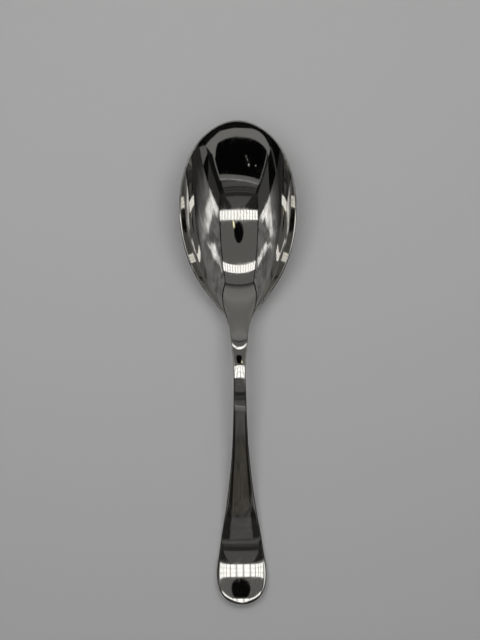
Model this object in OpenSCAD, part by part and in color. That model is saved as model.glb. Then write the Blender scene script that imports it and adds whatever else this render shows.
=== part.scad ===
// Serving spoon in polished stainless steel, lying hollow side up.
// The bowl's tip points along +Y, +X is to its right and Z = 0 is the table.
// The origin is on the table, below the middle of the spoon's length.
// One smooth skin runs over the whole spoon: every station along it gives the half width, the
// height, the hollow and the thickness there, and a cubic spline joins the stations.
// The bowl, the neck and the handle are lengths of that one skin and meet face to face.

/* [Bowl] */
// Length of the bowl, from its tip to the neck
bowl_len = 98; // [80:1:120]
// Width of the bowl across its rim
bowl_w = 55.9; // [44:0.1:64]
// Depth of the hollow below the rim at its sides
bowl_depth = 15.4; // [10:0.1:18]
// Thickness of the metal at the bottom of the bowl
bowl_t = 2; // [1.4:0.1:3]
// Thickness of the rim
rim_t = 1.1; // [1:0.1:2]
// How far the rim's rounded edge stands out past the flat of the wall
rim_round = 0.35; // [0.3:0.05:0.9]

/* [Neck] */
// Length of the neck
neck_len = 34; // [26:1:44]
// Width of the neck at its narrowest
neck_w = 6.3; // [4.4:0.1:8]
// Height of the neck's crest above the table
neck_h = 16.1; // [13:0.1:22]
// Thickness of the neck at its middle
neck_t = 3.8; // [2.6:0.1:4.6]
// Thickness of the neck at its edges
neck_edge_t = 2.6; // [1.6:0.1:3.2]
// How far the neck's rounded edge stands out
neck_round = 1; // [0.3:0.05:1.2]

/* [Handle] */
// Length of the handle, from the neck to its end
handle_len = 98; // [80:1:130]
// Width of the handle near its end
handle_w = 24.2; // [18:0.1:30]
// Thickness of the handle at its middle
handle_t = 2.7; // [2:0.1:3.6]
// Thickness of the handle at its edges
handle_edge_t = 2; // [1.4:0.1:2.6]
// How far the handle's rounded edge stands out
handle_round = 1.15; // [0.5:0.05:1.5]
// Radius of the crown across the handle's top
crown_r = 85; // [50:1:160]
// How far the end of the handle is turned up
end_rise = 4; // [2:0.1:8]

/* [Resting flats] */
// Depth of the flat worn on the underside where the spoon touches the table
rest_depth = 0.12; // [0.08:0.01:0.2]

/* [Hidden] */

// Steel colour
steel = [0.72, 0.72, 0.70];

// Stations as shares of the sizes that they follow
// Bowl: along its length, half width, centre height, hollow below the rim, upturn of the wall
bowl_shares = [
    [-0.013, 0, 1.46, -0.035, 0],
    [0.026, 0.424, 1.21, 0.07, 0.05],
    [0.112, 0.737, 0.85, 0.34, 0.17],
    [0.235, 0.923, 0.435, 0.73, 0.29],
    [0.367, 1, 0.162, 0.985, 0.39],
    [0.5, 0.991, 0.01, 0.985, 0.4],
    [0.617, 0.909, -0.01, 0.885, 0.4],
    [0.722, 0.775, 0.048, 0.72, 0.4],
    [0.806, 0.584, 0.161, 0.41, 0.4],
    [0.886, 0.368, 0.349, 0.14, 0.4],
    [0.962, 0.175, 0.588, 0.02, 0.3],
];
// Neck: along its length, half width, height of the crest, hollow, upturn of the wall
neck_shares = [
    [0.1, 1.44, 0.892, 0.037, 0.2],
    [0.32, 1.13, 1.016, -0.013, 0.05],
    [0.57, 0.97, 0.997, 0.003, 0],
    [0.88, 1.06, 0.955, 0, 0],
];
// Handle: along its length, half width, fall from the crest to the table, upturn of its end
handle_shares = [
    [0.08, 0.293, 0.79, 0],
    [0.205, 0.333, 0.615, 0],
    [0.325, 0.418, 0.43, 0],
    [0.45, 0.531, 0.244, 0],
    [0.56, 0.665, 0.09, 0],
    [0.66, 0.808, -0.003, 0],
    [0.755, 0.913, 0, -0.01],
    [0.83, 1.023, 0, 0.19],
    [0.892, 1.01, 0, 0.44],
    [0.944, 0.893, 0, 0.725],
    [0.986, 0.6, 0, 0.915],
    [1.007, 0, 0, 0.975],
];
// Share of the crown's fall that is kept for the handle's edges
crown_edge_share = 0.35;

// The middle of the whole length lies over the origin
spoon_len = bowl_len + neck_len + handle_len;
tip_y = spoon_len / 2;
neck_y = tip_y - bowl_len;
handle_y = neck_y - neck_len;

// Top of the metal over the two places that touch the table
bowl_floor = bowl_t - rest_depth;
handle_floor = handle_t - rest_depth;
crest_above = neck_h - handle_floor;

// What a station holds: its place along the spoon, half width and centre height, the hollow and
// the upturn of the wall, whether it is crowned, and the thicknesses and rounding of the metal
function place(s) = s[0];
function half_w(s) = s[1];
function centre_h(s) = s[2];
function hollow(s) = s[3];
function upturn(s) = s[4];
function crowned(s) = s[5];
function full_t(s) = s[6];
function edge_t(s) = s[7];
function edge_out(s) = s[8];

stations = [
    for (s = bowl_shares) [
        tip_y - s[0] * bowl_len,
        s[1] * bowl_w / 2,
        bowl_floor + s[2] * bowl_depth,
        s[3] * bowl_depth,
        s[4],
        0,
        bowl_t,
        rim_t,
        rim_round,
    ],
    for (s = neck_shares) [
        neck_y - s[0] * neck_len,
        s[1] * neck_w / 2,
        s[2] * neck_h,
        s[3] * bowl_depth,
        s[4],
        1,
        neck_t,
        neck_edge_t,
        neck_round,
    ],
    for (s = handle_shares) [
        handle_y - s[0] * handle_len,
        s[1] * handle_w / 2,
        handle_floor + s[2] * crest_above + s[3] * end_rise,
        0,
        crown_edge_share,
        1,
        handle_t,
        handle_edge_t,
        handle_round,
    ],
];
last = len(stations) - 1;

// Places along the stations where one part of the spoon ends and the next begins
neck_from = len(bowl_shares) - 0.5;
handle_from = len(bowl_shares) + len(neck_shares) - 0.5;

// Fineness of the skin: rows for each station, points across the top, steps round an edge
rows = 3;
across = 14;
edge_steps = 4;
// Small step along a parameter, for slopes
small = 0.02;
// Stations over which the full thickness builds up from either end
build_up = 3;

// Beyond either end the stations repeat mirrored, so that the outline closes round
function mirrored(s) = [
    place(s),
    -half_w(s),
    centre_h(s),
    hollow(s),
    -upturn(s),
    crowned(s),
    full_t(s),
    edge_t(s),
    edge_out(s),
];
function station(i) =
    i < 0 ? mirrored(stations[-i]) : i > last ? mirrored(stations[2 * last - i]) : stations[i];

// Uniform cubic spline through the stations and its slope
function spline(u) =
    let (i = min(floor(u), last - 1), t = u - i)
    station(i - 1) * pow(1 - t, 3) / 6
    + station(i) * (3 * pow(t, 3) - 6 * pow(t, 2) + 4) / 6
    + station(i + 1) * (-3 * pow(t, 3) + 3 * pow(t, 2) + 3 * t + 1) / 6
    + station(i + 2) * pow(t, 3) / 6;
function is_end(u) = u == 0 || u == last;
function inside(u) = min(max(u, 2 * small), last - 2 * small);

// Outward direction of the outline in plan, on the right-hand side
function outward(u) =
    let (v = inside(u), d = spline(v + small) - spline(v - small), n = [-place(d), half_w(d)])
    u == 0 ? [0, 1] : u == last ? [0, -1] : n / norm(n);

// Height of the edge above the centre line: the hollow, less the crown of the neck and handle
function rise(s) = hollow(s) - crowned(s) * pow(half_w(s), 2) / (2 * crown_r);

// Share of the rise reached at a place across, from 0 on the centre line to 1 at the rim:
// a round bottom, which the wall's upturn makes steeper and straighter towards the rim
function wall_share(across_share, wall) =
    (1 - wall) * pow(across_share, 2) + wall * pow(across_share, 6);

// Skin before its edge is rounded: u runs along the stations, a share from -1 to 1 runs across
function raw(u, across_share) =
    let (s = spline(u))
    [
        across_share * half_w(s),
        place(s),
        centre_h(s) + rise(s) * wall_share(across_share, upturn(s)),
    ];
function unit(v) = v / norm(v);
function raw_normal(u, across_share) =
    unit(cross(
        raw(u, across_share + small) - raw(u, across_share - small),
        raw(u - small, across_share) - raw(u + small, across_share)
    ));

// Distance from the outermost line of the edge to where the top surface ends
function inset(u) =
    let (
        v = inside(u),
        s = spline(v),
        lean = -raw_normal(v, 1) * concat(outward(v), 0),
        drop = edge_t(s) / 2 * lean
    )
    drop + norm([drop, edge_out(s) * sqrt(1 - pow(lean, 2))]);

// Point of the top surface, and its upward normal
function top(u, across_share) =
    let (p = raw(u, across_share), n = outward(u) * inset(u))
    [p[0] - across_share * n[0], p[1] - n[1], p[2]];
function normal(u, across_share) =
    let (v = inside(u), a = is_end(u) ? 0 : across_share)
    unit(cross(
        top(v, a + small) - top(v, a - small),
        top(v - small, a) - top(v + small, a)
    ));

// Thickness: full along the centre line, the edge's own at the edges and at both ends
function eased(x) = let (c = min(max(x, 0), 1)) c * c * (3 - 2 * c);
function thickness(u, across_share) =
    let (s = spline(u), full = eased(u / build_up) * eased((last - u) / build_up))
    edge_t(s) + (full_t(s) - edge_t(s)) * full * (1 - pow(across_share, 2));

// Point of the underside
function under(u, across_share) =
    top(u, across_share) - thickness(u, across_share) * normal(u, across_share);

// Point of the rounded edge on the right, from 0 degrees at the top to 180 at the underside
function edge(u, angle) =
    let (
        s = spline(u),
        n = normal(u, 1),
        along = u == 0 ? [1, 0, 0] : u == last ? [-1, 0, 0] : top(u + small, 1) - top(u - small, 1),
        out = unit(cross(n, along)),
        half_t = edge_t(s) / 2
    )
    top(u, 1) - half_t * (1 - cos(angle)) * n + edge_out(s) * sin(angle) * out;
function on_left(p) = [-p[0], p[1], p[2]];

// Rings of points round the spoon. The rings at both ends have shrunk to half a ring
full_count = 2 * (across + edge_steps);
function edge_angle(k) = 180 * k / edge_steps;
function across_at(j) = sin(180 * j / across - 90);
function ring(u) =
    is_end(u)
    ? [top(u, 0), for (k = [1 : edge_steps - 1]) edge(u, edge_angle(k)), under(u, 0)]
    : [
        for (j = [0 : across]) top(u, across_at(j)),
        for (k = [1 : edge_steps - 1]) edge(u, edge_angle(k)),
        for (j = [across : -1 : 0]) under(u, across_at(j)),
        for (k = [edge_steps - 1 : -1 : 1]) on_left(edge(u, edge_angle(k))),
    ];

// Place in an end's half ring of the point that has place j in a full ring
under_from = across + edge_steps;
left_from = under_from + across;
function end_place(j) =
    j <= across ? 0
    : j < under_from ? j - across
    : j <= left_from ? edge_steps
    : edge_steps - (j - left_from);

// Drops the triangles that have shrunk to a line at the two ends
function whole(triangles) =
    [for (f = triangles) if (f[0] != f[1] && f[1] != f[2] && f[2] != f[0]) f];

// Triangles across the cut face of a ring that starts at point number from
function cut_face(from) = [
    for (j = [0 : across - 1]) each [
        [from + j, from + j + 1, from + left_from - j],
        [from + j + 1, from + left_from - j - 1, from + left_from - j],
    ],
    for (k = [across + 1 : under_from - 1]) [from + across, from + k, from + k + 1],
    for (k = [left_from + 1 : full_count - 1]) [from + left_from, from + k, from + (k + 1) % full_count],
];
function flipped(triangles) = [for (f = triangles) [f[2], f[1], f[0]]];

// Solid length of the spoon between two places along the stations
module skin(from, to) {
    steps = round((to - from) * rows);
    us = [for (i = [0 : steps]) from + (to - from) * i / steps];
    rings = [for (u = us) ring(u)];
    first_count = len(rings[0]);
    function start(i) = i == 0 ? 0 : first_count + (i - 1) * full_count;
    function id(i, j) = start(i) + (is_end(us[i]) ? end_place(j % full_count) : j % full_count);
    sides = whole([
        for (i = [0 : steps - 1], j = [0 : full_count - 1]) each [
            [id(i, j), id(i, j + 1), id(i + 1, j + 1)],
            [id(i, j), id(i + 1, j + 1), id(i + 1, j)],
        ],
    ]);
    near_face = is_end(us[0]) ? [] : flipped(cut_face(0));
    far_face = is_end(us[steps]) ? [] : cut_face(start(steps));
    polyhedron([for (r = rings) each r], concat(sides, near_face, far_face));
}

// Flattens the underside on the table
module rested() {
    difference() {
        children();
        translate([-spoon_len, -spoon_len, -spoon_len])
            cube([2 * spoon_len, 2 * spoon_len, spoon_len]);
    }
}

module bowl() {
    color(steel) rested() skin(0, neck_from);
}

module neck() {
    color(steel) skin(neck_from, handle_from);
}

module handle() {
    color(steel) rested() skin(handle_from, last);
}

bowl();
neck();
handle();
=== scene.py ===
import math

import bmesh
import bpy
import numpy as np
from mathutils import Euler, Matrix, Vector


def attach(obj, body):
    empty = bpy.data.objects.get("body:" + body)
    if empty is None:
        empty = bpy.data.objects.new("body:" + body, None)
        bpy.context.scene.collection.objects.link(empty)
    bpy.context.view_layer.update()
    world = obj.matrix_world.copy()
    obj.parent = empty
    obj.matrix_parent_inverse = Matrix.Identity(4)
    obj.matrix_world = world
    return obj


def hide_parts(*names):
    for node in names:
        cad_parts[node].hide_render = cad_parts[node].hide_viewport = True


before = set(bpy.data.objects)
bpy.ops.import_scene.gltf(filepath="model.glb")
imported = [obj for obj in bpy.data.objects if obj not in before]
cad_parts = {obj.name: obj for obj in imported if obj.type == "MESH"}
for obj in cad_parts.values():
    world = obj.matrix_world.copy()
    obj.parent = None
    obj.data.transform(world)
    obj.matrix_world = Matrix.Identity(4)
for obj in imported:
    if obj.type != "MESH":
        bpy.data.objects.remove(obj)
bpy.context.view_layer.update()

# The spoon lies along Y, hollow side up. Its sizes are in millimetres, as in the construction. The endings
# of their names are len for length, w for width, h for height, t for thickness and r for radius.
MM = 0.001
SIZES = dict(
    bowl_len=98.0, bowl_w=55.9, bowl_depth=15.4, bowl_t=2.0, rim_t=1.1, rim_round=0.35,
    neck_len=34.0, neck_w=6.3, neck_h=16.1, neck_t=3.8, neck_edge_t=2.6, neck_round=1.0,
    handle_len=98.0, handle_w=24.2, handle_t=2.7, handle_edge_t=2.0, handle_round=1.15,
    crown_r=85.0, end_rise=4.0, rest_depth=0.12,
)
# Stations as shares of those sizes. Bowl: along, half width, centre height, hollow, roundness of the wall
BOWL_SHARES = [
    [-0.013, 0, 1.46, -0.035, 0],
    [0.026, 0.424, 1.21, 0.07, 0.05],
    [0.112, 0.737, 0.85, 0.34, 0.17],
    [0.235, 0.923, 0.435, 0.73, 0.29],
    [0.367, 1, 0.162, 0.985, 0.39],
    [0.5, 0.991, 0.01, 0.985, 0.4],
    [0.617, 0.909, -0.01, 0.885, 0.4],
    [0.722, 0.775, 0.048, 0.72, 0.4],
    [0.806, 0.584, 0.161, 0.41, 0.4],
    [0.886, 0.368, 0.349, 0.14, 0.4],
    [0.962, 0.175, 0.588, 0.02, 0.3],
]
# Neck: along, half width, height of the crest, hollow, roundness of the wall
NECK_SHARES = [
    [0.1, 1.44, 0.892, 0.037, 0.2],
    [0.32, 1.13, 1.016, -0.013, 0.05],
    [0.57, 0.97, 0.997, 0.003, 0],
    [0.88, 1.06, 0.955, 0, 0],
]
# Handle: along, half width, height from the table up to the crest, upturn of the end
HANDLE_SHARES = [
    [0.08, 0.293, 0.79, 0],
    [0.205, 0.333, 0.615, 0],
    [0.325, 0.418, 0.43, 0],
    [0.45, 0.531, 0.244, 0],
    [0.56, 0.665, 0.09, 0],
    [0.66, 0.808, -0.003, 0],
    [0.755, 0.913, 0, -0.01],
    [0.83, 1.023, 0, 0.19],
    [0.892, 1.01, 0, 0.44],
    [0.944, 0.893, 0, 0.725],
    [0.986, 0.6, 0, 0.915],
    [1.007, 0, 0, 0.975],
]
# Share of the crown's fall that lies near the handle's edges
CROWN_EDGE_SHARE = 0.35
# Columns of a station
Y, HALF_W, CENTRE, HOLLOW, WALL, CROWN, THICK, EDGE_T, ROUND = range(9)
# Step, in stations or in shares of the half width, over which a slope is taken
SMALL = 0.02
# Stations from either end over which the metal grows to its full thickness
BUILD_UP = 3.0
# Fineness of the skin: rings from one station to the next, steps across it, steps round an edge
ROWS = 16
ACROSS = 72
EDGE_STEPS = 14
# Points nearer than this, in metres, are merged, and shorter edges than this are dissolved
MERGE_DISTANCE = 1e-8
SHORTEST_EDGE = 1e-9


def make_stations(size):
    """Every station in millimetres, from the bowl's tip to the handle's end."""
    tip_y = (size["bowl_len"] + size["neck_len"] + size["handle_len"]) / 2
    neck_y = tip_y - size["bowl_len"]
    handle_y = neck_y - size["neck_len"]
    bowl_floor = size["bowl_t"] - size["rest_depth"]
    handle_floor = size["handle_t"] - size["rest_depth"]
    crest_above = size["neck_h"] - handle_floor
    bowl = [
        [tip_y - along * size["bowl_len"], width * size["bowl_w"] / 2,
         bowl_floor + height * size["bowl_depth"], hollow * size["bowl_depth"],
         wall, 0, size["bowl_t"], size["rim_t"], size["rim_round"]]
        for along, width, height, hollow, wall in BOWL_SHARES
    ]
    neck = [
        [neck_y - along * size["neck_len"], width * size["neck_w"] / 2,
         height * size["neck_h"], hollow * size["bowl_depth"],
         wall, 1, size["neck_t"], size["neck_edge_t"], size["neck_round"]]
        for along, width, height, hollow, wall in NECK_SHARES
    ]
    handle = [
        [handle_y - along * size["handle_len"], width * size["handle_w"] / 2,
         handle_floor + height * crest_above + upturn * size["end_rise"], 0,
         CROWN_EDGE_SHARE, 1, size["handle_t"], size["handle_edge_t"], size["handle_round"]]
        for along, width, height, upturn in HANDLE_SHARES
    ]
    return np.array(bowl + neck + handle, float)


STATIONS = make_stations(SIZES)
LAST = len(STATIONS) - 1
# The lengths meet halfway between the last station of one and the first of the next
NECK_FROM = len(BOWL_SHARES) - 0.5
HANDLE_FROM = len(BOWL_SHARES) + len(NECK_SHARES) - 0.5
# Beyond either end the stations repeat mirrored, so that the outline closes round
MIRRORED = np.array([1, -1, 1, 1, -1, 1, 1, 1, 1.0])
CONTROL = np.vstack([STATIONS[1] * MIRRORED, STATIONS, STATIONS[-2] * MIRRORED])


def unit(v):
    """Vectors of length 1 with the same directions."""
    return v / np.linalg.norm(v, axis=-1, keepdims=True)


def spline(u):
    """Smooth curve that follows the stations: a uniform cubic B-spline. u counts them from the tip."""
    i = np.clip(np.floor(u).astype(int), 0, LAST - 1)
    t = (u - i)[..., None]
    return (
        CONTROL[i] * (1 - t) ** 3 / 6
        + CONTROL[i + 1] * (3 * t**3 - 6 * t**2 + 4) / 6
        + CONTROL[i + 2] * (-3 * t**3 + 3 * t**2 + 3 * t + 1) / 6
        + CONTROL[i + 3] * t**3 / 6
    )


def inside(u):
    """Nearest u that is far enough from both ends to take a slope there."""
    return np.clip(u, 2 * SMALL, LAST - 2 * SMALL)


def outward(u):
    """Outward direction of the outline in plan, on the right-hand side."""
    v = inside(u)
    step = spline(v + SMALL) - spline(v - SMALL)
    out = unit(np.stack([-step[..., Y], step[..., HALF_W]], -1))
    out = np.where((u <= 0)[..., None], [0.0, 1.0], out)
    return np.where((u >= LAST)[..., None], [0.0, -1.0], out)


def rise(s):
    """Height of a station's rim above its centre, less the crown of the neck and handle."""
    return s[..., HOLLOW] - s[..., CROWN] * s[..., HALF_W] ** 2 / (2 * SIZES["crown_r"])


def wall_share(a, wall):
    """Share of the rise reached at a: a round bottom that turns up into a nearly straight wall."""
    return (1 - wall) * a**2 + wall * a**6


def raw(u, a):
    """Skin before its edge is rounded: a runs across the spoon from -1 to 1."""
    s = spline(u)
    z = s[..., CENTRE] + rise(s) * wall_share(a, s[..., WALL])
    return np.stack([a * s[..., HALF_W], s[..., Y], z], -1)


def upward(surface, u, a):
    """Upward normal of a surface, from small steps across it and along it."""
    across = surface(u, a + SMALL) - surface(u, a - SMALL)
    along = surface(u - SMALL, a) - surface(u + SMALL, a)
    return unit(np.cross(across, along))


def inset(u):
    """Distance from the outermost line of the edge to where the top surface ends."""
    v = inside(u)
    s = spline(v)
    n = upward(raw, v, np.ones_like(v))
    out = outward(v)
    lean = -(n[..., 0] * out[..., 0] + n[..., 1] * out[..., 1])
    drop = s[..., EDGE_T] / 2 * lean
    return drop + np.hypot(drop, s[..., ROUND] * np.sqrt(1 - lean**2))


def top(u, a):
    """Top surface, drawn in from the raw skin to leave room for the rounded edge."""
    drawn_in = outward(u) * inset(u)[..., None]
    return raw(u, a) - np.stack([a * drawn_in[..., 0], drawn_in[..., 1], np.zeros_like(u)], -1)


def normal(u, a):
    """Upward normal of the top surface. The two ends have that of their middle all over."""
    a = np.where((u <= 0) | (u >= LAST), 0.0, a)
    return upward(top, inside(u), a)


def eased(x):
    """Smooth step from 0 to 1."""
    c = np.clip(x, 0, 1)
    return c * c * (3 - 2 * c)


def thickness(u, a):
    """Thickness of the metal: full in the middle, and the edge's at the edges and at both ends."""
    s = spline(u)
    full = eased(u / BUILD_UP) * eased((LAST - u) / BUILD_UP)
    return s[..., EDGE_T] + (s[..., THICK] - s[..., EDGE_T]) * full * (1 - a**2)


def under(u, a):
    """Underside, below the top surface by the thickness of the metal."""
    return top(u, a) - thickness(u, a)[..., None] * normal(u, a)


def edge(u, angle):
    """Rounded edge on the right, from 0 at the top to pi at the underside."""
    one = np.ones_like(u)
    s = spline(u)
    n = normal(u, one)
    v = inside(u)
    along = top(v + SMALL, one) - top(v - SMALL, one)
    along = np.where((u <= 0)[..., None], [1.0, 0.0, 0.0], along)
    along = np.where((u >= LAST)[..., None], [-1.0, 0.0, 0.0], along)
    out = unit(np.cross(n, along))
    half_t = s[..., EDGE_T, None] / 2
    return (
        top(u, one)
        - half_t * (1 - np.cos(angle)[..., None]) * n
        + s[..., ROUND, None] * np.sin(angle)[..., None] * out
    )


def edge_normal(u, angle):
    """Outward normal of the rounded edge on the right."""
    one = np.ones_like(u)
    s = spline(u)
    start = top(u, one) - s[..., EDGE_T, None] / 2 * normal(u, one)
    out = unit(edge(u, np.full_like(u, math.pi / 2)) - start)
    turned = s[..., ROUND] * np.cos(angle)
    lifted = s[..., EDGE_T] / 2 * np.sin(angle)
    return unit(turned[..., None] * normal(u, one) + lifted[..., None] * out)


def ring_points(us):
    """Closed ring round the spoon for each u, and its normals: top, right edge, underside, left edge."""
    share = np.sin(np.linspace(-math.pi / 2, math.pi / 2, ACROSS + 1))
    angles = np.linspace(0, math.pi, EDGE_STEPS + 1)[1:-1]
    u_skin, a_skin = np.meshgrid(us, share, indexing="ij")
    u_edge, angle = np.meshgrid(us, angles, indexing="ij")
    to_left = [-1, 1, 1]
    right = edge(u_edge, angle)
    below = under(u_skin, a_skin)[:, ::-1]
    rings = np.concatenate([top(u_skin, a_skin), right, below, right[:, ::-1] * to_left], axis=1)
    # The two flats on which the spoon rests
    rings[..., 2] = np.maximum(rings[..., 2], 0)
    side = edge_normal(u_edge, angle)
    down = -upward(under, inside(u_skin), a_skin)[:, ::-1]
    normals = np.concatenate([normal(u_skin, a_skin), side, down, side[:, ::-1] * to_left], axis=1)
    return rings, normals


def skin(name, u_from, u_to):
    """Mesh of one length of the spoon, closed with a face where it meets the next length."""
    steps = round((u_to - u_from) * ROWS)
    rings, normals = ring_points(np.linspace(u_from, u_to, steps + 1))
    bm = bmesh.new()
    facing = bm.verts.layers.float_vector.new("facing")
    rows = []
    for ring, ring_normals in zip(rings * MM, normals):
        row = [bm.verts.new(point) for point in ring]
        for vert, direction in zip(row, ring_normals):
            vert[facing] = Vector(direction)
        rows.append(row)
    for row, next_row in zip(rows, rows[1:]):
        for j in range(len(row)):
            k = (j + 1) % len(row)
            bm.faces.new((row[j], row[k], next_row[k], next_row[j]))
    for row, u, turned in ((rows[0], u_from, True), (rows[-1], u_to, False)):
        if 0 < u < LAST:
            close_face(bm, row, turned)
    bmesh.ops.remove_doubles(bm, verts=bm.verts, dist=MERGE_DISTANCE)
    bmesh.ops.dissolve_degenerate(bm, dist=SHORTEST_EDGE, edges=bm.edges)
    bmesh.ops.recalc_face_normals(bm, faces=bm.faces)
    mesh = bpy.data.meshes.new(name)
    bm.to_mesh(mesh)
    bm.free()
    # The exact normals, kept with the points so far, become the mesh's own
    values = np.empty(3 * len(mesh.vertices))
    mesh.attributes["facing"].data.foreach_get("vector", values)
    mesh.attributes.remove(mesh.attributes["facing"])
    mesh.shade_smooth()
    mesh.normals_split_custom_set_from_vertices(values.reshape(-1, 3))
    piece = bpy.data.objects.new(name, mesh)
    bpy.context.scene.collection.objects.link(piece)
    return piece


def close_face(bm, row, turned):
    """Strip of faces across the cut end of a length, from its top points to its underside points."""
    last_top = ACROSS
    first_under = ACROSS + EDGE_STEPS
    last_under = first_under + ACROSS
    corners = []
    for j in range(ACROSS):
        corners.append((row[j], row[j + 1], row[last_under - j - 1], row[last_under - j]))
    corners.append(tuple(row[last_top:first_under + 1]))
    corners.append(tuple(row[last_under:] + [row[0]]))
    for face_corners in corners:
        face = bm.faces.new(face_corners[::-1] if turned else face_corners)
        face.smooth = False


class Nodes:
    """Shorthand for building a material's nodes. Its inputs are values or the sockets of other nodes."""

    def __init__(self, name):
        self.material = bpy.data.materials.new(name)
        self.material.use_nodes = True
        self.tree = self.material.node_tree
        self.tree.nodes.clear()

    def add(self, kind, inputs=None, **settings):
        node = self.tree.nodes.new(kind)
        for key, value in settings.items():
            setattr(node, key, value)
        for key, value in (inputs or {}).items():
            socket = node.inputs[key]
            if isinstance(value, bpy.types.NodeSocket):
                self.tree.links.new(value, socket)
            else:
                socket.default_value = value
        return node

    def place(self):
        """Place on the object, in metres."""
        return self.add("ShaderNodeTexCoord").outputs["Object"]

    def axes(self, place):
        """Sockets X, Y and Z of a place."""
        return self.add("ShaderNodeSeparateXYZ", {"Vector": place}).outputs

    def calc(self, operation, *values):
        """Result of a Math node."""
        return self.add("ShaderNodeMath", dict(enumerate(values)), operation=operation).outputs[0]

    def scaled(self, place, scale):
        """Place with X, Y and Z stretched."""
        return self.add("ShaderNodeMapping", {"Vector": place, "Scale": scale}).outputs[0]

    def noise(self, place, scale, detail, roughness=0.5, distortion=0.0):
        """Outputs of a noise texture: the first is its value, and Color is a vector."""
        return self.add("ShaderNodeTexNoise", {
            "Vector": place, "Scale": scale, "Detail": detail,
            "Roughness": roughness, "Distortion": distortion}).outputs

    def ramp(self, value, span, low=0.0, high=1.0, shape="LINEAR"):
        """Value that goes from low to high over the span, and stays there beyond it."""
        return self.add("ShaderNodeMapRange", {
            "Value": value, "From Min": span[0], "From Max": span[1],
            "To Min": low, "To Max": high}, interpolation_type=shape).outputs[0]

    def finish(self, shader):
        out = self.add("ShaderNodeOutputMaterial")
        self.tree.links.new(shader.outputs[0], out.inputs["Surface"])
        return self.material

    def finish_glow(self, colour, strength):
        """Material that gives off light."""
        return self.finish(self.add("ShaderNodeEmission", {"Color": (*colour, 1), "Strength": strength}))


# Polished steel
STEEL_COLOUR = (0.74, 0.73, 0.705, 1)
MIRROR_ROUGHNESS = 0.035
HANDLE_ROUGHNESS = 0.042
# The mirror softens from the neck's crest to the first part of the handle
HANDLE_SOFT_Y = (0.004, -0.022)
# Wiping marks: the most that they add to the roughness, and the noise that draws them
SMUDGE_ROUGHNESS = 0.03
SMUDGE_SCALE = 90.0
SMUDGE_DETAIL = 3.0
SMUDGE_CURL = 0.8
SMUDGE_NOISE = (0.48, 0.72)
# Wear lines: turn in degrees, pitch and length in metres, and a shift that keeps them apart
WEAR_LINES = (
    (4, 0.00035, 0.030, 0.1),
    (-13, 0.00050, 0.022, 0.3),
    (38, 0.00060, 0.016, 0.7),
    (81, 0.00070, 0.014, 0.9),
)
# A line fades in between these values of its noise
LINE_NOISE = (0.60, 0.72)
LINE_DETAIL = 2.0
LINE_ROUGHNESS = 0.05
# Depth of a wear line and height of the waves left by polishing, in metres
LINE_DEPTH = 0.0000004
RIPPLE_HEIGHT = 0.000003
RIPPLE_SCALE = 70.0
RIPPLE_DETAIL = 1.0


def wear_lines(n, place, turn, pitch, length, shift):
    """Fine straight wear lines of one direction: 1 on a line and 0 beside it."""
    turned = n.add("ShaderNodeVectorRotate", {
        "Vector": place, "Angle": math.radians(turn), "Center": (shift, shift, 0)}, rotation_type="Z_AXIS")
    drawn = n.scaled(turned.outputs[0], (1 / pitch, 1 / length, 1 / length))
    return n.ramp(n.noise(drawn, 1.0, LINE_DETAIL)[0], LINE_NOISE)


def polished_steel():
    """Mirror finish with fine wear lines and faint wiping marks, and a softer mirror on the handle."""
    n = Nodes("polished_steel")
    place = n.place()
    mirror = n.ramp(n.axes(place)["Y"], HANDLE_SOFT_Y, MIRROR_ROUGHNESS, HANDLE_ROUGHNESS)
    marks = n.noise(place, SMUDGE_SCALE, SMUDGE_DETAIL, distortion=SMUDGE_CURL)[0]
    smudge = n.ramp(marks, SMUDGE_NOISE, 0.0, SMUDGE_ROUGHNESS)
    lines = wear_lines(n, place, *WEAR_LINES[0])
    for direction in WEAR_LINES[1:]:
        lines = n.calc("MAXIMUM", lines, wear_lines(n, place, *direction))
    rough = n.calc("ADD", mirror, smudge)
    rough = n.calc("ADD", rough, n.calc("MULTIPLY", lines, LINE_ROUGHNESS))
    ripples = n.noise(place, RIPPLE_SCALE, RIPPLE_DETAIL)[0]
    wavy = n.calc("MULTIPLY", ripples, RIPPLE_HEIGHT)
    height = n.calc("ADD", n.calc("MULTIPLY", lines, -LINE_DEPTH), wavy)
    bump = n.add("ShaderNodeBump", {"Height": height, "Distance": 1.0, "Strength": 1.0})
    return n.finish(n.add("ShaderNodeBsdfPrincipled", {
        "Base Color": STEEL_COLOUR, "Metallic": 1.0, "Roughness": rough, "Normal": bump.outputs[0]}))


def spoon():
    """The three lengths of the spoon, which meet face to face."""
    steel = polished_steel()
    for node_name, u_from, u_to in (
        ("bowl", 0, NECK_FROM), ("neck", NECK_FROM, HANDLE_FROM), ("handle", HANDLE_FROM, LAST),
    ):
        piece = skin(node_name + "_skin", u_from, u_to)
        piece.data.materials.append(steel)
        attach(piece, "root")
        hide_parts(node_name)


# Camera, which looks straight down on the spoon: place in metres, and turn of the picture
CAMERA_PLACE = (0.00042, 0.02196, 0.540)
CAMERA_TURN = math.radians(-0.6)
# Length of the table along the picture's long side, in metres
VIEW_LENGTH = 0.3109
# Sensor along the picture's long side, in millimetres, and the nearest that the camera sees, in metres
SENSOR = 36.0
CLIP_START = 0.01


def make_camera():
    """Camera whose lens fits its height and the length in view."""
    data = bpy.data.cameras.new("camera")
    data.sensor_width = SENSOR
    data.lens = SENSOR * CAMERA_PLACE[2] / VIEW_LENGTH
    data.clip_start = CLIP_START
    camera = bpy.data.objects.new("camera", data)
    camera.location = CAMERA_PLACE
    camera.rotation_euler = Euler((0, 0, CAMERA_TURN))
    bpy.context.scene.collection.objects.link(camera)
    bpy.context.scene.camera = camera


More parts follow.
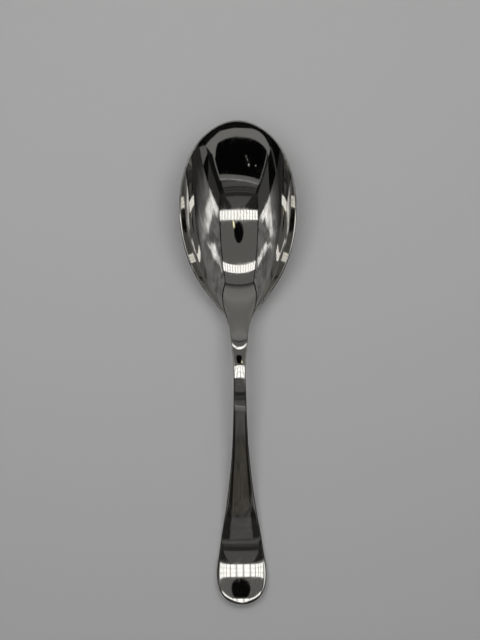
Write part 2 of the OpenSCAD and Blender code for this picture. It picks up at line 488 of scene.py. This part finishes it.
# Light tent round the spoon, which the mirror finish shows: its walls and ceiling, in metres. They are
# panels that glow in place of being lit, painted with the tent's light and shade
TENT_X = (-0.262, 0.233)
TENT_FRONT = -0.181
TENT_BACK = 0.319
TENT_TOP = 0.505
# Gap between the layers of a wall, so that each covers the one behind it
LAYER = 0.001
# Greys of the plain panels, as the steel shows them, from 0 to 255: each panel's glow, which paints the
# light and shade on it
GREYS = dict(
    front_low=12, front_beside=14, lip=100, window_frame=110, flap=56,
    shade_low=4, shade_left=56, shade_right=42,
    ceiling=82, ceiling_dark=29, ceiling_light=68, ceiling_edge=34, ceiling_seam=4,
    camera_hole=4, yellow_tag=250, back_seam=8, room=1,
)
WARM_WHITE = (1.0, 0.995, 0.96)
# How much of the light the polished steel returns
STEEL_TONE = 0.72

# Window in the front wall and the strips of its frame
WINDOW_X = (-0.228, 0.167)
WINDOW_Z = (0.190, 0.372)
WINDOW_FRAME = 0.008
# Lit lip below the window: the arc of its lower edge and the arc of its upper edge, X and Z
LIP_UNDER = (
    (-0.262, 0.196),
    (-0.190, 0.180),
    (-0.130, 0.158),
    (-0.062, 0.132),
    (0.010, 0.126),
    (0.070, 0.148),
    (0.125, 0.176),
    (0.180, 0.186),
    (0.233, 0.190),
)
LIP_OVER = (
    (-0.262, 0.224),
    (-0.205, 0.214),
    (-0.140, 0.206),
    (-0.062, 0.193),
    (0.010, 0.187),
    (0.060, 0.196),
    (0.111, 0.208),
    (0.137, 0.226),
    (0.160, 0.250),
)
# Rolled-up flap above the window: lowest edge at the window's left, and how much lower it is at the right
FLAP_LOW = 0.372
FLAP_TILT = 0.036
# Bands of its hem, in greys of painted light and shade: lower edge and upper edge at the window's left,
# and grey; and how far the hem leans out
HEM_BANDS = ((0.350, 0.394, 88), (0.394, 0.405, 132), (0.405, 0.412, 80))
HEM_LEAN = 0.0135
# Its folds, one above the other from this height, in greys of painted light and shade: height and grey
FOLDS_FROM = 0.398
FOLDS = ((0.044, 66), (0.009, 24), (0.026, 50), (0.008, 34))

# Side walls: rear end of the shaded front part, and the height below which the shade is darker
SHADE_Y = dict(left=-0.055, right=-0.092)
SHADE_DARK_Z = 0.240
# The lip runs on along them: heights at its front and rear ends, and its grey
SIDE_ARMS = dict(
    left=((0.186, 0.196), (0.118, 0.130), 58),
    right=((0.190, 0.222), (0.110, 0.165), 82),
)
# Soft patches of light on their silver lining: Y, Z, half length, half width,
# turn in degrees from the floor's plane, grey from 0 to 255
PATCHES = dict(
    left=(
        (-0.035, 0.350, 0.125, 0.038, 92, 242),
        (-0.008, 0.285, 0.075, 0.044, 112, 224),
        (0.034, 0.230, 0.080, 0.036, 128, 220),
        (0.050, 0.165, 0.100, 0.055, 120, 128),
        (0.104, 0.225, 0.100, 0.010, 92, 180),
        (0.108, 0.305, 0.060, 0.024, 88, 215),
        (0.145, 0.388, 0.100, 0.027, 62, 230),
    ),
    right=(
        (-0.078, 0.385, 0.120, 0.036, 92, 242),
        (-0.045, 0.310, 0.085, 0.044, 108, 228),
        (-0.002, 0.258, 0.080, 0.036, 125, 222),
        (0.026, 0.210, 0.075, 0.040, 120, 165),
        (0.055, 0.155, 0.100, 0.055, 118, 132),
        (0.098, 0.265, 0.070, 0.015, 80, 205),
        (0.116, 0.335, 0.090, 0.034, 76, 232),
        (0.170, 0.425, 0.080, 0.022, 42, 190),
    ),
)
# A patch fades out between these shares of its half sizes
PATCH_FADE = (1.25, 0.35)
# Glow of the lining: its even grey of painted light, and the darker grey of painted shade in its creases
FOIL_COLOUR = (1.0, 0.995, 0.97)
FOIL_GREY = 98
FOIL_CREASE_SHADE_GREY = 72
# A noise bends the pattern of the lining: its fineness, its detail, and its strength in metres
BEND_SCALE = 16.0
BEND_DETAIL = 3.0
BEND = 0.075
# Creases and wrinkles: stretch of both, and fineness, detail, and where the noise shows each of them
CREASE_STRETCH = (1, 3.2, 0.7)
CREASE_SCALE = 8.0
CREASE_DETAIL = 4.0
CREASE_NOISE = (0.36, 0.56)
CREASE_PATCH_NOISE = (0.34, 0.5)
WRINKLE_SCALE = 24.0
WRINKLE_DETAIL = 5.0
WRINKLE_ROUGHNESS = 0.6
WRINKLE_CURL = 0.6
WRINKLE_NOISE = (0.38, 0.58)
# Shares of a patch's light: painted shade in a crease and in a wrinkle, and a painted highlight on the
# ridge beside it
CREASE_SHADE_SHARE = 0.7
WRINKLE_SHADE_SHARE = 0.55
RIDGE_HIGHLIGHT_SHARE = 1.1
# Painted shade darkens the lining towards the floor and the front. Its depth is its height plus this share
# of Y;
# over this range of depth it goes from this share of its light to all of it
DEPTH_SHARE = 0.6
DEPTH_RANGE = (0.085, 0.195)
DEPTH_LEAST = 0.14

# Ceiling, one lining painted with light and shade: dark with painted shade from the front wall to the
# first bar of lamps, with a lighter field of painted light and an edge in it
CEILING_EDGE_Y = -0.158
CEILING_LIGHT = ((-0.22, TENT_FRONT), (0.19, TENT_FRONT), (0.05, -0.092), (-0.06, -0.096))
CEILING_SEAM = 0.016
# Hole that the camera looks through
HOLE_R = 0.056
HOLE_PLACE = (-0.007, 0.018)
HOLE_CORNERS = 48
# Yellow tag that hangs from the ceiling and turns its edge to the handle: X, Y and lower end
TAG_X = (0.039, 0.052)
TAG_Y = (-0.022, -0.006)
TAG_LOW = 0.425
TAG_COLOUR = (1.0, 1.0, 0.6)
# The two bars of lamps under the ceiling
BAR_FRONT_Y = -0.0675
BAR_BACK_Y = 0.198
BAR_X = (-0.252, 0.224)
BAR_WIDTH = 0.048
BAR_COLUMNS = 13
BAR_ROWS = 3
LAMP_COLOUR = (1.0, 0.99, 0.96)
LAMP_STRENGTH = 1.6
# Gaps between the lamps: share of a column's and of a row's width, and grey
COLUMN_GAP = 0.25
ROW_GAP = 0.12
LAMP_GAP_GREY = 150

# Rear wall: greys at heights above the floor, which paint its light and shade, and the width of the seams
# at its sides
BACK_GREYS = ((0.16, 100), (0.25, 90), (0.32, 105), (0.42, 97), (0.465, 68), (0.50, 24))
BACK_SEAM = 0.022

# Dim room beyond the window. Only the handle shows the part of it that is overhead.
ROOM_HALF_W = 5.0
ROOM_TOP = 3.0
ROOM_FAR_Y = -6.0
# Lit strips of its ceiling, each from the end of the one before: far edge, colour,
# darkest and lightest grey, and fineness of the blotches
ROOM_STRIPS = (
    ("room_grey", -1.625, (1.0, 0.99, 0.96), 64, 72, 2.0),
    ("room_fold", -1.705, (1.0, 0.97, 0.90), 16, 66, 17.0),
    ("room_brown", -2.04, (1.0, 0.94, 0.80), 22, 74, 17.0),
)
BLOTCH_STRETCH = (0.35, 1.8, 1.0)
BLOTCH_DETAIL = 2.0
BLOTCH_CURL = 1.5
BLOTCH_NOISE = (0.4, 0.6)
# Farthest that the strips are lit to either side of the middle, width of their soft edge, the most that
# the blotches take off at that edge, and the share of light beyond it
ROOM_LIT_X = 0.52
ROOM_FADE = 0.06
ROOM_RAGGED = 0.25
ROOM_UNLIT_SHARE = 0.2
# Small lamps far off in the room, which the bowl shows: X, Z, half size and grey
SPARKS_Y = -1.29
SPARKS = (
    (-0.444, 1.388, 0.018, 250),
    (-0.751, 1.388, 0.014, 200),
    (-0.360, 1.268, 0.010, 200),
    (-0.300, 1.208, 0.010, 200),
)


def seen(grey):
    """Glow that shows in the steel as this grey, from 0 to 255: the sRGB curve over the steel's tone."""
    return ((grey / 255 + 0.055) / 1.055) ** 2.4 / STEEL_TONE


def glow(grey, colour=WARM_WHITE):
    """Material with an even glow, made once for each grey and colour."""
    name = "glow_" + str(grey) + "_" + str(round(100 * colour[2]))
    if name in bpy.data.materials:
        return bpy.data.materials[name]
    return Nodes(name).finish_glow(colour, seen(grey))


def stage_piece(name, corners, faces, material, only_mirrored=True):
    """Piece of the stage. One that is only mirrored shows in the steel, and nowhere else."""
    mesh = bpy.data.meshes.new(name)
    mesh.from_pydata(corners, [], faces)
    mesh.materials.append(material)
    obj = bpy.data.objects.new(name, mesh)
    bpy.context.scene.collection.objects.link(obj)
    obj.visible_camera = not only_mirrored
    obj.visible_shadow = not only_mirrored
    obj.visible_diffuse = not only_mirrored
    return obj


def panel(name, corners, material):
    """Flat piece with these corners."""
    return stage_piece(name, corners, [tuple(range(len(corners)))], material)


def upright(name, x, y, z, material):
    """Upright panel across the tent: X and Z are ranges."""
    return panel(name, [(x[0], y, z[0]), (x[1], y, z[0]), (x[1], y, z[1]), (x[0], y, z[1])], material)


def flat_corners(x, y, z):
    """Corners of a level panel: X and Y are ranges."""
    return [(x[0], y[0], z), (x[1], y[0], z), (x[1], y[1], z), (x[0], y[1], z)]


def on_front(name, x, z, material, layer=0):
    """Panel of the front wall, in front of it by some layers."""
    upright(name, x, TENT_FRONT + layer * LAYER, z, material)


def on_back(name, x, z, material, layer=0):
    """Panel of the rear wall."""
    upright(name, x, TENT_BACK - layer * LAYER, z, material)


def on_top(name, x, y, material, layer=0):
    """Panel of the ceiling."""
    panel(name, flat_corners(x, y, TENT_TOP - layer * LAYER), material)


def on_side(side, part, y, z, material, layer=0, z_rear=None):
    """Panel of the left or the right wall. Its rear end can have heights of its own."""
    rear = z_rear or z
    x = TENT_X[0] + layer * LAYER if side == "left" else TENT_X[1] - layer * LAYER
    corners = [(x, y[0], z[0]), (x, y[1], rear[0]), (x, y[1], rear[1]), (x, y[0], z[1])]
    panel(side + "_" + part, corners, material)


def front_lip():
    """Lit band on the front wall between two arcs that have the same number of points."""
    y = TENT_FRONT + 2 * LAYER
    count = len(LIP_UNDER)
    corners = [(x, y, z) for x, z in LIP_UNDER + LIP_OVER]
    faces = [(i, i + 1, count + i + 1, count + i) for i in range(count - 1)]
    stage_piece("front_lip", corners, faces, glow(GREYS["lip"]))


def hem():
    """Rolled hem of the flap, in bands of painted light and shade. It leans out towards its lower edge, so
    the handle sees it edge on.
    """
    left, right = WINDOW_X
    lowest, highest = HEM_BANDS[0][0], HEM_BANDS[-1][1]
    for number, (low, high, grey) in enumerate(HEM_BANDS):
        y_low, y_high = [
            TENT_FRONT + 2 * LAYER + HEM_LEAN * (highest - z) / (highest - lowest) for z in (low, high)]
        corners = [
            (left, y_low, low),
            (right, y_low, low - FLAP_TILT),
            (right, y_high, high - FLAP_TILT),
            (left, y_high, high),
        ]
        panel("hem_" + str(number), corners, glow(grey))


def flap():
    """Rolled-up flap above the window, with its hem and folds."""
    hem()
    z = FOLDS_FROM
    for number, (height, grey) in enumerate(FOLDS, start=1):
        on_front("fold_" + str(number), WINDOW_X, (z, z + height), glow(grey), 1)
        z += height
    left, right = WINDOW_X
    y = TENT_FRONT + LAYER / 2
    corners = [
        (left, y, FLAP_LOW),
        (right, y, FLAP_LOW - FLAP_TILT),
        (right, y, TENT_TOP),
        (left, y, TENT_TOP),
    ]
    panel("flap", corners, glow(GREYS["flap"]))


def tent_front():
    """Front wall round the window, which stays open to the room."""
    left, right = WINDOW_X
    beside = glow(GREYS["front_beside"])
    window_frame = glow(GREYS["window_frame"])
    on_front("front_low", TENT_X, (0, WINDOW_Z[0]), glow(GREYS["front_low"]))
    front_lip()
    on_front("front_left", (TENT_X[0], left), (WINDOW_Z[0], TENT_TOP), beside)
    on_front("front_right", (right, TENT_X[1]), (WINDOW_Z[0], TENT_TOP), beside)
    on_front("frame_left", (left - WINDOW_FRAME, left), WINDOW_Z, window_frame, 1)
    on_front("frame_right", (right, right + WINDOW_FRAME), WINDOW_Z, window_frame, 1)
    flap()


def patch_mask(n, place, y, z, half_length, half_width, turn):
    """Soft oval on a side wall that is 1 in its middle and falls to 0 outside."""
    centred = n.add("ShaderNodeVectorMath", {0: place, 1: (0, y, z)}, operation="SUBTRACT")
    turned = n.add("ShaderNodeVectorRotate", {
        "Vector": centred.outputs[0], "Axis": (1, 0, 0), "Angle": -math.radians(turn)})
    shares = n.add("ShaderNodeVectorMath", {
        0: turned.outputs[0], 1: (0, 1 / half_length, 1 / half_width)}, operation="MULTIPLY")
    length = n.add("ShaderNodeVectorMath", {0: shares.outputs[0]}, operation="LENGTH")
    return n.ramp(length.outputs["Value"], PATCH_FADE, shape="SMOOTHSTEP")


def bent_place(n):
    """Place on the lining, moved about by a noise."""
    place = n.place()
    noise = n.noise(place, BEND_SCALE, BEND_DETAIL)["Color"]
    # The noise lies round a half in X, Y and Z
    shift = n.add("ShaderNodeVectorMath", {0: noise, 1: (0.5, 0.5, 0.5)}, operation="SUBTRACT")
    small = n.add("ShaderNodeVectorMath", {0: shift.outputs[0], "Scale": BEND}, operation="SCALE")
    return n.add("ShaderNodeVectorMath", {0: place, 1: small.outputs[0]}, operation="ADD").outputs[0]


def foil_glow(name, patches):
    """Crinkled silver lining of a side wall, a glow of painted light: an even grey with soft bright
    patches, darker creases and wrinkles of painted shade, and painted highlights on ridges.
    """
    n = Nodes(name)
    place = bent_place(n)
    stretched = n.scaled(place, CREASE_STRETCH)
    creases = n.noise(stretched, CREASE_SCALE, CREASE_DETAIL)[0]
    wrinkles = n.noise(stretched, WRINKLE_SCALE, WRINKLE_DETAIL, WRINKLE_ROUGHNESS, WRINKLE_CURL)[0]
    # Painted shade in the wrinkles and creases, and a painted highlight on the ridges, within the patches
    fine = n.ramp(wrinkles, WRINKLE_NOISE, WRINKLE_SHADE_SHARE, RIDGE_HIGHLIGHT_SHARE)
    broad = n.ramp(creases, CREASE_PATCH_NOISE, CREASE_SHADE_SHARE)
    fade = n.calc("MULTIPLY", fine, broad)
    level = n.ramp(creases, CREASE_NOISE, seen(FOIL_CREASE_SHADE_GREY), seen(FOIL_GREY))
    for y, z, half_length, half_width, turn, grey in patches:
        lit = n.calc("MULTIPLY", patch_mask(n, place, y, z, half_length, half_width, turn), fade)
        level = n.calc("MAXIMUM", level, n.calc("MULTIPLY", lit, seen(grey)))
    axes = n.axes(place)
    # Painted shade, darker towards the floor and the front
    depth = n.calc("MULTIPLY_ADD", axes["Y"], DEPTH_SHARE, axes["Z"])
    return n.finish_glow(FOIL_COLOUR, n.calc("MULTIPLY", level, n.ramp(depth, DEPTH_RANGE, DEPTH_LEAST)))


def tent_sides():
    """Side walls: shade at the front, the arm of the lip on it, and the lining behind it."""
    for side in ("right", "left"):
        shaded = (TENT_FRONT, SHADE_Y[side])
        on_side(side, "shade_low", shaded, (0, SHADE_DARK_Z), glow(GREYS["shade_low"]))
        on_side(side, "shade_high", shaded, (SHADE_DARK_Z, TENT_TOP), glow(GREYS["shade_" + side]))
        z_front, z_rear, grey = SIDE_ARMS[side]
        on_side(side, "arm", shaded, z_front, glow(grey), 2, z_rear)
        foil = foil_glow(side + "_lining", PATCHES[side])
        on_side(side, "foil", (SHADE_Y[side], TENT_BACK), (0, TENT_TOP), foil)


def lamp_cells(n, place, start, pitch, gap):
    """Along one axis, 1 on a lamp and 0 in the gap before it."""
    cells = n.calc("DIVIDE", n.calc("SUBTRACT", place, start), pitch)
    return n.calc("GREATER_THAN", n.calc("FRACT", cells), gap)


def lamp_glow():
    """Rows of square lamps with thin darker lines between them."""
    n = Nodes("led_lamps")
    axes = n.axes(n.place())
    columns = lamp_cells(n, axes["X"], BAR_X[0], (BAR_X[1] - BAR_X[0]) / BAR_COLUMNS, COLUMN_GAP)
    rows = lamp_cells(n, axes["Y"], -BAR_WIDTH / 2, BAR_WIDTH / BAR_ROWS, ROW_GAP)
    lit = n.calc("MULTIPLY", columns, rows)
    return n.finish_glow(LAMP_COLOUR, n.ramp(lit, (0, 1), seen(LAMP_GAP_GREY), LAMP_STRENGTH))


def lamp_bars():
    """The two bars of lamps. Each has its own middle as its origin, from which the lamps are counted."""
    lamps = lamp_glow()
    half = BAR_WIDTH / 2
    for name, y in (("bar_front", BAR_FRONT_Y), ("bar_back", BAR_BACK_Y)):
        bar = panel(name, flat_corners(BAR_X, (-half, half), 0), lamps)
        bar.location = (0, y, TENT_TOP - 4 * LAYER)


def camera_hole():
    """Dark round hole in the ceiling."""
    turns = [2 * math.pi * i / HOLE_CORNERS for i in range(HOLE_CORNERS)]
    x, y = HOLE_PLACE
    z = TENT_TOP - 3 * LAYER
    corners = [(x + HOLE_R * math.cos(turn), y + HOLE_R * math.sin(turn), z) for turn in turns]
    panel("camera_hole", corners, glow(GREYS["camera_hole"]))


def tent_top():
    """Ceiling with its seams, the yellow tag, the lamps and the camera's hole."""
    left, right = TENT_X
    light_from = BAR_FRONT_Y - BAR_WIDTH / 2
    # The one lining of the ceiling, in fields of painted light and shade
    on_top("ceiling", TENT_X, (light_from, TENT_BACK), glow(GREYS["ceiling"]))
    on_top("ceiling_dark", TENT_X, (TENT_FRONT, light_from), glow(GREYS["ceiling_dark"]))
    light_z = TENT_TOP - LAYER
    panel("ceiling_light", [(x, y, light_z) for x, y in CEILING_LIGHT], glow(GREYS["ceiling_light"]))
    on_top("ceiling_edge", TENT_X, (TENT_FRONT, CEILING_EDGE_Y), glow(GREYS["ceiling_edge"]), 2)
    for name, x in (
        ("seam_left", (left, left + CEILING_SEAM)),
        ("seam_right", (right - CEILING_SEAM, right)),
    ):
        on_top(name, x, (TENT_FRONT, TENT_BACK), glow(GREYS["ceiling_seam"]), 2)
    tag_corners = [
        (TAG_X[0], TAG_Y[0], TAG_LOW),
        (TAG_X[1], TAG_Y[0], TAG_LOW),
        (TAG_X[1], TAG_Y[1], light_z),
        (TAG_X[0], TAG_Y[1], light_z),
    ]
    panel("yellow_tag", tag_corners, glow(GREYS["yellow_tag"], TAG_COLOUR))
    lamp_bars()
    camera_hole()


def back_glow():
    """Rear wall, whose grey of painted light changes with the height and darkens with painted shade
    towards the ceiling.
    """
    n = Nodes("back_lining")
    height = n.axes(n.place())["Z"]
    level = seen(BACK_GREYS[0][1])
    for (z_low, grey_low), (z_high, grey_high) in zip(BACK_GREYS, BACK_GREYS[1:]):
        change = n.ramp(height, (z_low, z_high), 0.0, seen(grey_high) - seen(grey_low))
        level = n.calc("ADD", level, change)
    return n.finish_glow(WARM_WHITE, level)


def tent_back():
    """Rear wall with a dark seam at either side."""
    left, right = TENT_X
    on_back("back", TENT_X, (0, TENT_TOP), back_glow())
    for name, x in (
        ("back_left", (left, left + BACK_SEAM)),
        ("back_right", (right - BACK_SEAM, right)),
    ):
        on_back(name, x, (0, TENT_TOP), glow(GREYS["back_seam"]), 1)


def room_glow(name, colour, dark, light, fineness):
    """Lit part of the room's ceiling: blotches that fade to dark at both sides."""
    n = Nodes(name)
    place = n.place()
    stretched = n.scaled(place, BLOTCH_STRETCH)
    blotches = n.noise(stretched, fineness, BLOTCH_DETAIL, distortion=BLOTCH_CURL)[0]
    tone = n.ramp(blotches, BLOTCH_NOISE, seen(dark), seen(light))
    away = n.calc("ABSOLUTE", n.axes(place)["X"])
    ragged = n.calc("MULTIPLY_ADD", blotches, ROOM_RAGGED, away)
    inner = n.ramp(ragged, (ROOM_LIT_X + ROOM_FADE, ROOM_LIT_X), ROOM_UNLIT_SHARE)
    return n.finish_glow(colour, n.calc("MULTIPLY", tone, inner))


def room():
    """Ceiling, far wall and small lamps of the room beyond the window."""
    width = (-ROOM_HALF_W, ROOM_HALF_W)
    dark_glow = glow(GREYS["room"])
    y_near = TENT_FRONT
    for name, y_far, colour, dark, light, fineness in ROOM_STRIPS:
        material = room_glow(name + "_light", colour, dark, light, fineness)
        panel(name, flat_corners(width, (y_near, y_far), ROOM_TOP), material)
        y_near = y_far
    panel("room_dark", flat_corners(width, (y_near, ROOM_FAR_Y), ROOM_TOP), dark_glow)
    for number, (x, z, half, grey) in enumerate(SPARKS):
        upright("spark_" + str(number), (x - half, x + half), SPARKS_Y, (z - half, z + half), glow(grey))
    upright("room_wall", width, ROOM_FAR_Y, (0, ROOM_TOP), dark_glow)


# Floor, and the soft light on the floor and the spoon
FLOOR_HALF = 3.0
FLOOR_COLOUR = (0.42, 0.42, 0.42, 1)
# Lamps over the spoon: name, place and size in metres, and power in watts
SOFT_LIGHTS = (
    ("lamp_front", (0.06, -0.05, 0.50), (0.60, 0.30), 0.30),
    ("lamp_back", (0, 0.12, 0.50), (0.65, 0.40), 2.95),
)
WORLD_COLOUR = (0.23, 0.23, 0.23, 1)


def floor():
    """Plain pale floor."""
    n = Nodes("pale_floor")
    material = n.finish(n.add("ShaderNodeBsdfDiffuse", {"Color": FLOOR_COLOUR}))
    corners = flat_corners((-FLOOR_HALF, FLOOR_HALF), (-FLOOR_HALF, FLOOR_HALF), 0)
    stage_piece("floor", corners, [(0, 1, 2, 3)], material, only_mirrored=False)


def soft_light(name, place, size, power):
    """Soft lamp over the spoon, which the mirror finish doesn't show."""
    data = bpy.data.lights.new(name, "AREA")
    data.shape = "RECTANGLE"
    data.size, data.size_y = size
    data.energy = power
    lamp = bpy.data.objects.new(name, data)
    lamp.location = place
    lamp.visible_glossy = False
    bpy.context.scene.collection.objects.link(lamp)


def plain_world():
    """Even light from all round."""
    world = bpy.data.worlds.new("world")
    world.use_nodes = True
    world.node_tree.nodes["Background"].inputs["Color"].default_value = WORLD_COLOUR
    bpy.context.scene.world = world


spoon()
make_camera()
floor()
tent_front()
tent_sides()
tent_top()
tent_back()
room()
for values in SOFT_LIGHTS:
    soft_light(*values)
plain_world()
bpy.context.scene.view_settings.view_transform = "Standard"
